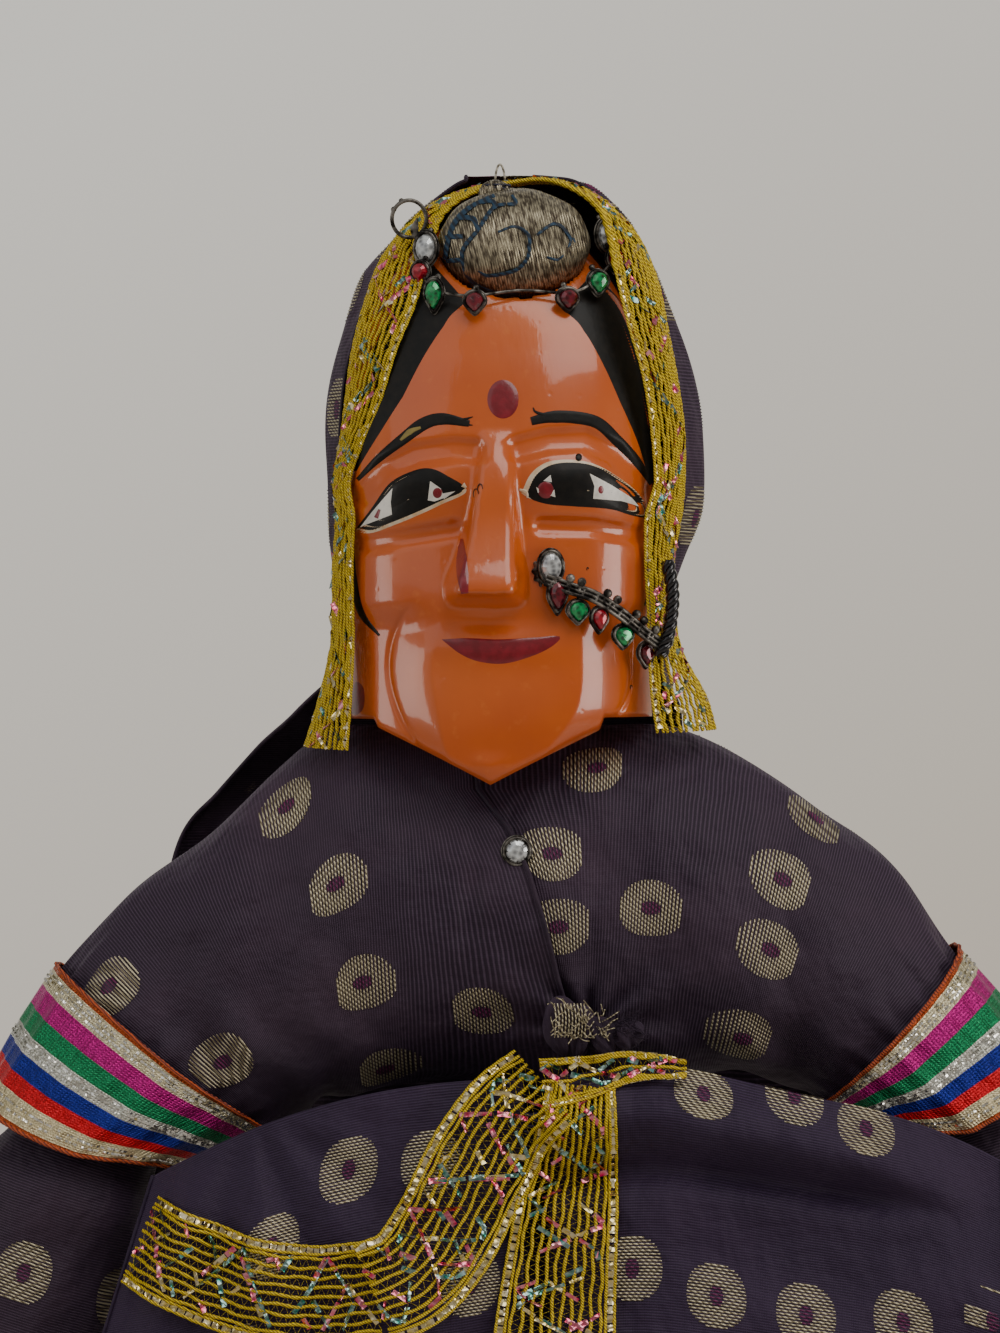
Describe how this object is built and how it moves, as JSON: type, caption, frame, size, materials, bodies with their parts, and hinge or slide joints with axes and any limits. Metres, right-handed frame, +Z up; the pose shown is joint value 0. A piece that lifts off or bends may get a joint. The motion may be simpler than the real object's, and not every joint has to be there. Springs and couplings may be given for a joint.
{
  "type": "rajasthani kathputli puppet",
  "caption": "Rajasthani string puppet of a bride: painted wooden head, stuffed cloth body and arms, jewelled nath, lace-edged veil and a pleated skirt.",
  "frame": {"origin": "the crown thread loop, on the puppet's centre line", "axes": "+Z up the body, -Y the way the face looks, +X to the puppet's left"},
  "size_m": [0.2388, 0.1528, 0.5011],
  "materials": {
    "painted_wood": "thick gloss enamel over carved wood",
    "string": "twisted cotton",
    "zari_brocade": "metallic woven",
    "binding_thread": "matt",
    "dark_metal": "darkened",
    "clear_stone": "faceted",
    "red_stone": "faceted",
    "green_stone": "faceted",
    "wine_stone": "faceted",
    "purple_brocade": "ribbed weave with gold motifs",
    "violet_brocade": "ribbed weave with gold motifs",
    "gota_lace": "metallic net and cord",
    "metallic_ribbon": "metallic stripes",
    "stuffing": "cotton rag",
    "hand_cloth": "plain weave"
  },
  "bodies": {
    "head": {"head_block": "painted_wood", "crown_loop": "string", "borla_cushion": "zari_brocade", "borla_knot": "binding_thread", "brow_strip": "dark_metal", "brow_stone_1": "clear_stone", "brow_stone_2": "red_stone", "brow_stone_3": "green_stone", "brow_stone_4": "wine_stone", "brow_stone_5": "wine_stone", "brow_stone_6": "green_stone", "brow_stone_7": "red_stone", "brow_stone_8": "clear_stone", "hair_ring": "dark_metal", "odhni_veil": "purple_brocade", "veil_border_lace": "gota_lace", "nose_stone": "clear_stone"},
    "nath": {"nath_strip": "dark_metal", "nath_stone_1": "wine_stone", "nath_stone_2": "green_stone", "nath_stone_3": "red_stone", "nath_stone_4": "green_stone", "nath_stone_5": "wine_stone", "nath_chain": "dark_metal"},
    "torso": {"neck_binding": "binding_thread", "torso_stuffing": "stuffing", "bodice_right": "purple_brocade", "bodice_left": "purple_brocade", "bodice_button": "clear_stone", "waist_knot": "purple_brocade"},
    "upper_arm_right": {"upper_arm_stuffing_right": "stuffing", "armband_right": "metallic_ribbon"},
    "forearm_right": {"forearm_stuffing_right": "stuffing", "sleeve_right": "purple_brocade", "cuff_right": "gota_lace", "hand_right": "hand_cloth", "hand_loop_right": "string"},
    "upper_arm_left": {"upper_arm_stuffing_left": "stuffing", "armband_left": "metallic_ribbon"},
    "forearm_left": {"forearm_stuffing_left": "stuffing", "sleeve_left": "purple_brocade", "cuff_left": "gota_lace", "hand_left": "hand_cloth", "hand_loop_left": "string"},
    "skirt": {"waistband": "violet_brocade", "ghagra": "violet_brocade", "hem_gota": "gota_lace", "wrap_right": "violet_brocade", "wrap_left": "violet_brocade", "lace_end": "gota_lace", "lace_diagonal": "gota_lace", "lace_hanging": "gota_lace", "lace_tucked": "gota_lace", "back_loop": "string"}
  },
  "joints": [
    {"name": "neck_turn", "type": "hinge", "parent": "head", "child": "torso", "pos_m": [0, 0.005, -0.095], "axis": [0, 0, 1], "range_deg": [-22, 22], "deforming": ["odhni_veil"]},
    {"name": "nath_swing", "type": "hinge", "parent": "head", "child": "nath", "pos_m": [0.0084, -0.0236, -0.0655], "axis": [-0.9516, -0.3064, 0.0232], "range_deg": [0, 40]},
    {"name": "shoulder_right", "type": "hinge", "parent": "torso", "child": "upper_arm_right", "pos_m": [-0.033, 0, -0.113], "axis": [0, 1, 0], "range_deg": [0, 55], "deforming": ["bodice_right"]},
    {"name": "shoulder_left", "type": "hinge", "parent": "torso", "child": "upper_arm_left", "pos_m": [0.033, 0, -0.113], "axis": [0, -1, 0], "range_deg": [0, 55], "deforming": ["bodice_left"]},
    {"name": "elbow_right", "type": "hinge", "parent": "upper_arm_right", "child": "forearm_right", "pos_m": [-0.0754, 0, -0.173], "axis": [0, 1, 0], "range_deg": [0, 60], "deforming": ["sleeve_right"]},
    {"name": "elbow_left", "type": "hinge", "parent": "upper_arm_left", "child": "forearm_left", "pos_m": [0.0884, 0, -0.1734], "axis": [0, -1, 0], "range_deg": [0, 60], "deforming": ["sleeve_left"]},
    {"name": "waist_bow", "type": "hinge", "parent": "torso", "child": "skirt", "pos_m": [0, 0.001, -0.156], "axis": [1, 0, 0], "range_deg": [-3, 12]}
  ]
}
